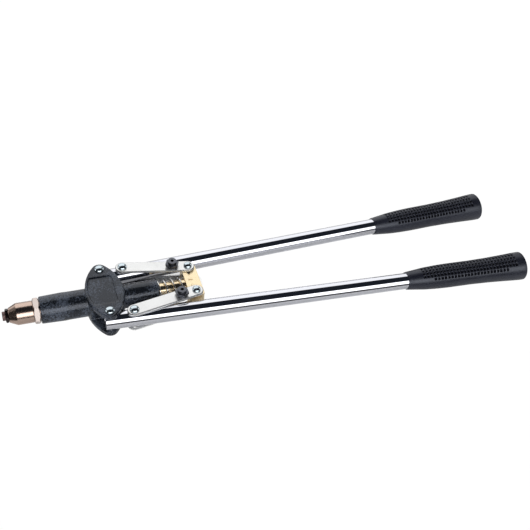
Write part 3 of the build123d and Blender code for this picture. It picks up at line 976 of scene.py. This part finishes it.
class RIVETER_OT_grips(bpy.types.Operator):
    """Build the two dimpled plastic grips"""

    bl_idname = "riveter.grips"
    bl_label = "Dimpled Grips"

    def execute(self, context):
        sizes = context.scene.riveter_sizes
        for side_name in SIDES:
            node = f"{side_name}_grip"
            place = handle_place(side_name)
            start, end = reach_along(node, place)
            points, dimple_shade = self.grip_points(start, end - start, sizes)
            points = placed(points, place)
            # The dimples' mask also marks them for painted shade
            grip = grid_surface(f"{node}_surface", points, sharp_degrees=60, marks=dimple_shade)
            dress(grip, "grip_plastic", f"{side_name}_handle", node)
        return {"FINISHED"}

    def grip_points(self, start, length, sizes):
        """Sleeve about the tube: an outline R(s) turned about X, less depth times the dimples'
        mask. Towards the end, x loses slant times (r sin v / R + 1/2). Also gives the mask."""
        s, radius = self.outline(length)
        v = ring_angles(GRIP_ROUND_STEPS)
        mask = self.dimples(s, v, length, sizes.dimple_pitch / MM)
        r = radius[:, None] - sizes.dimple_depth / MM * mask
        near_end = np.clip((s - length) / GRIP_SLANT_RUN + 1, 0, 1) ** 2
        lean = GRIP_SLANT * near_end[:, None] * (r * np.sin(v) / GRIP_OUTLINE[-1][1] + 0.5)
        x = (start + s)[:, None] - lean
        return np.stack([x, r * np.cos(v), r * np.sin(v)], axis=-1), mask

    @staticmethod
    def outline(length):
        """Distance and radius of each row: the bore from its closed end to the mouth's lip, the
        side, blended by a moving average, the rounded end and its flat parabolic dome."""
        snug_r = TUBE_R - SNUG
        inner_end = length - GRIP_END_WALL
        bore = [(inner_end, 0), (inner_end, snug_r), (GRIP_LIP_RUN, snug_r)]
        lip = [(0, TUBE_R - 0.02), (0, TUBE_R + 0.3)]
        shoulder = length - GRIP_END_ROUND
        knots = np.vstack([GRIP_OUTLINE, [(shoulder + 1, GRIP_OUTLINE[-1][1] - SNUG)]])
        s_side = np.arange(0, shoulder, GRIP_STEP)
        kernel = np.hanning(GRIP_BLEND * 2 + 1)
        r_side = np.interp(s_side, knots[:, 0], knots[:, 1])
        r_side = np.pad(r_side, GRIP_BLEND, mode="reflect", reflect_type="odd")
        r_side = np.convolve(r_side, kernel / kernel.sum(), mode="valid")
        t = np.linspace(0, math.pi / 2, 10)[1:]
        s_round = s_side[-1] + (GRIP_END_ROUND - GRIP_DOME) * np.sin(t)
        r_round = r_side[-1] - GRIP_END_ROUND * (1 - np.cos(t))
        r_cap = np.linspace(r_round[-1], 0, 10)[1:]
        s_cap = s_round[-1] + GRIP_DOME * (1 - (r_cap / r_round[-1]) ** 2)
        s_inner, r_inner = np.array(bore + lip, float).T
        s = np.concatenate([s_inner, s_side, s_round, s_cap])
        return s, np.concatenate([r_inner, r_side, r_round, r_cap])

    @staticmethod
    def dimples(s, v, length, pitch):
        """Mask of the dimples, from 0 to 1. One is the product of two square waves with sloping
        walls, and they fill a panel: a rounded ellipse in s and v about the top."""
        middle = length * (PANEL_SHARES[0] + PANEL_SHARES[1]) / 2
        half = length * (PANEL_SHARES[1] - PANEL_SHARES[0]) / 2
        row_angle = pitch / DIMPLE_ROW_R
        from_top = np.mod(v - math.pi / 2 + math.pi, 2 * math.pi) - math.pi
        column = np.floor(s / pitch)
        row = np.floor(from_top / row_angle + 0.5)
        along_share = np.abs(((column + 0.5) * pitch - middle) / half)
        around_share = np.abs(row * row_angle / PANEL_HALF_ANGLE)
        inside = along_share[:, None] ** PANEL_POWER + around_share[None, :] ** PANEL_POWER < 1.0
        off_middle = (np.abs(s / pitch - column - 0.5), np.abs(from_top / row_angle - row))
        along, around = (
            np.clip((reach - off) / DIMPLE_WALL, 0, 1)
            for reach, off in zip(DIMPLE_HALVES, off_middle)
        )
        return along[:, None] * around[None, :] * inside


class RIVETER_OT_links(bpy.types.Operator):
    """Build the four flat links"""

    bl_idname = "riveter.links"
    bl_label = "Flat Links"

    def execute(self, context):
        edge = context.scene.riveter_sizes.link_edge / MM
        for side_name in SIDES:
            place, length = link_place(side_name)
            eye = box_centre(f"{side_name}_yoke_rivet")
            for level in ("upper", "lower"):
                node = f"{side_name}_{level}_link"
                low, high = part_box(node)
                outline, normals = stadium(length, (high.x - eye.x) / MM)
                faces = low.z / MM, high.z / MM
                link = slab(f"{node}_surface", outline, normals, *faces, edge, place)
                dress(link, "matte_zinc", f"{side_name}_links", node)
        return {"FINISHED"}


class RIVETER_OT_spare_nosepieces(bpy.types.Operator):
    """Build the two nosepieces stored on the links"""

    bl_idname = "riveter.spare_nosepieces"
    bl_label = "Spare Nosepieces"

    def execute(self, context):
        steps = context.scene.riveter_sizes.round_steps
        downward = Matrix.Rotation(math.pi, 4, "X") @ UPRIGHT
        for side_name in SIDES:
            node = f"{side_name}_spare_nosepiece"
            low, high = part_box(node)
            centre = box_centre(node)
            place = matrix_to(centre.x, centre.y, high.z) @ downward
            length, turn = (high.z - low.z) / MM, SPARE_TURNS[side_name]
            spare = nosepiece_surface(f"{node}_surface", place, turn, length, steps)
            dress(spare, "black_oxide", f"{side_name}_links", node)
        return {"FINISHED"}


class RIVETER_OT_pull(bpy.types.Operator):
    """Build the yoke, its set screw and the pull rod"""

    bl_idname = "riveter.pull"
    bl_label = "Yoke and Rod"

    def execute(self, context):
        sizes = context.scene.riveter_sizes
        yoke = bevelled_copy("yoke", "yoke_surface", sizes.edge_round)
        dress(yoke, "yellow_zinc", "pull", "yoke")
        dress_node("yoke_set_screw", "dark_zinc")
        low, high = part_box("pull_rod")
        front, rear, rod_r = low.x / MM, high.x / MM, high.z / MM
        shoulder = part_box("yoke")[0].x / MM - 0.02
        thread_end = front + ROD_THREAD[0]
        corners = [
            (front + ROD_CONE[0], 0),
            (front, ROD_CONE[1]),
            (front, ROD_THREAD[1]),
            (thread_end, ROD_THREAD[1]),
            (thread_end, rod_r),
            (shoulder, rod_r),
            (shoulder, ROD_NECK_R),
            (rear, ROD_NECK_R),
            (rear, 0),
        ]
        profile = rounded(corners, CUT_EDGE, closed=False)
        barrel = Matrix.Identity(4)
        rod = turned("pull_rod_surface", profile, barrel, sizes.round_steps, loop=False)
        dress(rod, "gold_rod", "pull", "pull_rod")
        return {"FINISHED"}


class RIVETER_OT_springs(bpy.types.Operator):
    """Build the return spring and the jaw spring, with closed end turns"""

    bl_idname = "riveter.springs"
    bl_label = "Springs"

    def execute(self, context):
        wire_r = context.scene.riveter_sizes.spring_wire / MM / 2
        barrel_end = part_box("head_casting")[1].x / MM
        stops = (barrel_end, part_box("yoke")[0].x / MM)
        self.add_spring("return_spring", "head", "yoke_slide", stops, barrel_end, wire_r)
        stops = tuple(corner.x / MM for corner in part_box("jaw_spring"))
        self.add_spring("jaw_spring", "pull", "jaw_slide", stops, stops[1], JAW_WIRE_R)
        return {"FINISHED"}

    def add_spring(self, node, body, joint, stops, fixed, wire_r):
        """Spring between two stops, on a mesh of its own. The joint and the fixed end are not used.
        """
        mean_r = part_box(node)[1].y / MM - wire_r - SNUG
        points = self.wire_points(*stops, mean_r, wire_r)
        spring = grid_surface(f"{node}_surface", points * MM, sharp_degrees=60)
        dress(spring, "spring_steel", body, node)
        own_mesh(spring)

    @staticmethod
    def wire_points(start, end, mean_r, wire_r):
        """Helix (x(u), R cos u, R sin u). The climb's rate is low at both ends and rises over half
        a turn, so that the end turns lie closed. Each ring is a circle across the wire, and the two
        end rings shrink to a point."""
        closed_run, rise_run = 0.1, 0.5
        turns = np.linspace(0, SPRING_TURNS, SPRING_TURNS * SPRING_TURN_STEPS)
        u = SPRING_START + turns * 2 * math.pi
        from_end = np.minimum(turns, SPRING_TURNS - turns)
        rate = np.clip(SPRING_CLOSED + (from_end - closed_run) / rise_run, SPRING_CLOSED, 1.0)
        climb = np.cumsum(rate) - rate[0]
        x = start + wire_r + climb / climb[-1] * (end - start - 2 * wire_r)
        centre = np.stack([x, mean_r * np.cos(u), mean_r * np.sin(u)], axis=1)
        tangent = np.gradient(centre, axis=0)
        tangent /= np.linalg.norm(tangent, axis=1, keepdims=True)
        outward = np.stack([np.zeros_like(u), np.cos(u), np.sin(u)], axis=1)
        side = np.cross(tangent, outward)
        v = ring_angles(SPRING_WIRE_STEPS)[None, :, None]
        size = np.full((len(u), 1, 1), wire_r)
        size[[0, -1]] = 0
        return centre[:, None] + size * (np.cos(v) * outward[:, None] + np.sin(v) * side[:, None])


class RIVETER_OT_inner_parts(bpy.types.Operator):
    """Finish the jaw case, the jaws and the pusher inside the barrel"""

    bl_idname = "riveter.inner_parts"
    bl_label = "Inner Parts"

    def execute(self, context):
        for node in ("jaw_case", "jaw_pusher", "jaw_1", "jaw_2", "jaw_3"):
            dress_node(node, "bare_steel")
        return {"FINISHED"}


# ---------------------------------------------------------------- stage


def colour_ramp(tree, source, stops):
    """Ramp over a socket, from (position, grey or colour) stops."""
    ramp = tree.nodes.new("ShaderNodeValToRGB")
    elements = ramp.color_ramp.elements
    while len(elements) < len(stops):
        elements.new(0.5)
    for element, (position, colour) in zip(elements, stops):
        element.position = position
        element.color = (*colour, 1) if isinstance(colour, tuple) else (colour, colour, colour, 1)
    tree.links.new(source, ramp.inputs["Fac"])
    return ramp.outputs["Color"]


def studio_world():
    """Surroundings by direction: a long soft strip in front and one behind, a dark ceiling between
    them, and darker ends. The angle runs from the front horizon (0) over the top to the back one
    (1). The camera itself sees plain white."""
    world = bpy.data.worlds.new("studio")
    world.use_nodes = True
    tree = world.node_tree
    background = tree.nodes["Background"]
    place = tree.nodes.new("ShaderNodeTexCoord")
    axes = tree.nodes.new("ShaderNodeSeparateXYZ")
    tree.links.new(place.outputs["Generated"], axes.inputs["Vector"])
    forward = math_node(tree, "MULTIPLY", axes.outputs["Y"], -1.0)
    angle = math_node(tree, "ARCTAN2", axes.outputs["Z"], forward)
    over = math_node(tree, "DIVIDE", angle, math.pi)
    along = math_node(tree, "MULTIPLY_ADD", axes.outputs["X"], 0.5)
    strips = colour_ramp(tree, over, STRIPS_OVER)
    low_behind = colour_ramp(tree, over, ENDS_OVER)
    ends = colour_ramp(tree, along, ENDS_ALONG)
    ends = math_node(tree, "MULTIPLY_ADD", ends, low_behind, END_GLOW)
    window = colour_ramp(tree, along, WINDOW_ALONG)
    tree.links.new(mixed_colour(tree, window, ends, strips), background.inputs["Color"])
    background.inputs["Strength"].default_value = STUDIO_STRENGTH
    backdrop = tree.nodes.new("ShaderNodeBackground")
    backdrop.inputs["Color"].default_value = (1, 1, 1, 1)
    shaders = background.outputs["Background"], backdrop.outputs["Background"]
    show_to_camera(tree, *shaders, 1.0, tree.nodes["World Output"])
    return world


def show_to_camera(tree, unseen, seen, share, output):
    """Surface that camera rays see as one shader, by a share, and all other rays as another."""
    rays = tree.nodes.new("ShaderNodeLightPath")
    mix = tree.nodes.new("ShaderNodeMixShader")
    factor = math_node(tree, "MULTIPLY", rays.outputs["Is Camera Ray"], share)
    tree.links.new(factor, mix.inputs["Fac"])
    tree.links.new(unseen, mix.inputs[1])
    tree.links.new(seen, mix.inputs[2])
    tree.links.new(mix.outputs["Shader"], output.inputs["Surface"])


def from_linkage(tree, place):
    """Distance over the floor from the linkage's middle, as a share of its reach, which bounds
    the painted shadow.
    """
    under = tree.nodes.new("ShaderNodeMapping")
    under.inputs["Scale"].default_value = (*(1 / reach for reach in LINKAGE_REACH), 0)
    shift = (-middle / reach for middle, reach in zip(LINKAGE_MIDDLE, LINKAGE_REACH))
    under.inputs["Location"].default_value = (*shift, 0)
    away = tree.nodes.new("ShaderNodeVectorMath")
    away.operation = "LENGTH"
    tree.links.new(place, under.inputs["Vector"])
    tree.links.new(under.outputs["Vector"], away.inputs[0])
    return away.outputs["Value"]


def floor_material():
    """White floor that stays pale under the tool. The camera sees a glowing sheet with a painted
    shadow where the linkage closes it off, and the floor's own glow carries the same painted
    shadow. Other rays see matte white with a dark card past the nose end and one along the near
    side."""
    material = bpy.data.materials.new("floor_white")
    material.use_nodes = True
    tree = material.node_tree
    shader = tree.nodes["Principled BSDF"]
    shader.inputs["Roughness"].default_value = 1.0
    shader.inputs["Specular IOR Level"].default_value = 0.0
    shader.inputs["Emission Strength"].default_value = FLOOR_GLOW
    place = tree.nodes.new("ShaderNodeTexCoord").outputs["Object"]
    axes = tree.nodes.new("ShaderNodeSeparateXYZ")
    tree.links.new(place, axes.inputs["Vector"])
    x, y = axes.outputs["X"], axes.outputs["Y"]
    from_nose = math_node(tree, "MULTIPLY_ADD", x, NOSE_CARD_SLOPE)
    from_side = math_node(tree, "MULTIPLY_ADD", y, SIDE_CARD_SLOPE, -SIDE_CARD_SLOPE * SIDE_CARD_Y)
    cards = (
        colour_ramp(tree, from_nose, NOSE_CARD),
        colour_ramp(tree, from_side, SIDE_CARD),
    )
    base = math_node(tree, "MINIMUM", *cards)
    # Painted shadow: ambient occlusion under the linkage darkens the sheet that the camera sees and
    # the floor's glow
    gaps = tree.nodes.new("ShaderNodeAmbientOcclusion")
    gaps.samples = GAP_SAMPLES
    gaps.inputs["Distance"].default_value = GAP_REACH
    closed = colour_ramp(tree, gaps.outputs["AO"], PAINTED_GAP_SHADOW)
    open_floor = colour_ramp(tree, from_linkage(tree, place), OPEN_FLOOR)
    light_under_painted_shadow = math_node(tree, "MAXIMUM", closed, open_floor)
    glow = math_node(tree, "MULTIPLY", base, light_under_painted_shadow)
    tree.links.new(base, shader.inputs["Base Color"])
    tree.links.new(glow, shader.inputs["Emission Color"])
    lit = tree.nodes.new("ShaderNodeEmission")
    lit.inputs["Strength"].default_value = FLOOR_SEEN
    tree.links.new(light_under_painted_shadow, lit.inputs["Color"])
    shaders = shader.outputs["BSDF"], lit.outputs["Emission"]
    show_to_camera(tree, *shaders, FLOOR_SEEN_SHARE, tree.nodes["Material Output"])
    return material


class RIVETER_OT_stage(bpy.types.Operator):
    """Set up the floor, the surroundings that light the tool, and the camera"""

    bl_idname = "riveter.stage"
    bl_label = "Stage"

    def execute(self, context):
        scene = context.scene
        z = CAD_BOX[0][2] - FLOOR_DROP
        signs = ((-1, -1), (1, -1), (1, 1), (-1, 1))
        mesh = bpy.data.meshes.new("floor")
        corners = [(x * FLOOR_HALF, y * FLOOR_HALF, z) for x, y in signs]
        mesh.from_pydata(corners, [], [(0, 1, 2, 3)])
        mesh.materials.append(floor_material())
        new_object("floor", mesh)
        scene.world = studio_world()
        scene.view_settings.view_transform = "Standard"
        self.add_camera(scene)
        return {"FINISHED"}

    @staticmethod
    def add_camera(scene):
        """Camera aimed at the tool from its left front, high up and rolled a little."""
        level = math.cos(CAMERA_ELEVATION)
        back = Vector(
            (
                math.sin(CAMERA_AZIMUTH) * level,
                -math.cos(CAMERA_AZIMUTH) * level,
                math.sin(CAMERA_ELEVATION),
            )
        )
        data = bpy.data.cameras.new("camera")
        data.sensor_width = SENSOR_WIDTH
        data.lens = SENSOR_WIDTH * FOCAL_SHARE
        data.clip_start = 0.01
        camera = new_object("camera", data)
        look = (-back).to_track_quat("-Z", "Y").to_matrix().to_4x4()
        stand = Matrix.Translation(Vector(CAMERA_TARGET) + back * CAMERA_DISTANCE)
        camera.matrix_world = stand @ look @ Matrix.Rotation(CAMERA_ROLL, 4, "Z")
        scene.camera = camera


OPERATORS = (
    RIVETER_OT_front_end,
    RIVETER_OT_head,
    RIVETER_OT_rivets,
    RIVETER_OT_handles,
    RIVETER_OT_grips,
    RIVETER_OT_links,
    RIVETER_OT_spare_nosepieces,
    RIVETER_OT_pull,
    RIVETER_OT_springs,
    RIVETER_OT_inner_parts,
    RIVETER_OT_stage,
)


class RIVETER_PT_panel(bpy.types.Panel):
    """Sidebar panel that lists the build steps, the sizes and the colours"""

    bl_label = "Riveter"
    bl_idname = "RIVETER_PT_panel"
    bl_space_type = "VIEW_3D"
    bl_region_type = "UI"
    bl_category = "Riveter"

    def draw(self, context):
        layout = self.layout
        for operator in OPERATORS:
            layout.operator(operator.bl_idname)
        for group in (context.scene.riveter_sizes, context.scene.riveter_colours):
            column = layout.column()
            for name in group.bl_rna.properties.keys():
                if name not in {"rna_type", "name"}:
                    column.prop(group, name)


CLASSES = (RiveterSizes, RiveterColours, *OPERATORS, RIVETER_PT_panel)


def register():
    """Registers the classes and the scene's settings."""
    for item in CLASSES:
        bpy.utils.register_class(item)
    bpy.types.Scene.riveter_sizes = PointerProperty(type=RiveterSizes)
    bpy.types.Scene.riveter_colours = PointerProperty(type=RiveterColours)


def unregister():
    """Removes the settings and the classes."""
    del bpy.types.Scene.riveter_sizes
    del bpy.types.Scene.riveter_colours
    for item in reversed(CLASSES):
        bpy.utils.unregister_class(item)


def main():
    """Registers the add-on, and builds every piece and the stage."""
    register()
    for operator in OPERATORS:
        group, name = operator.bl_idname.split(".")
        getattr(getattr(bpy.ops, group), name)()


if __name__ == "__main__":
    main()
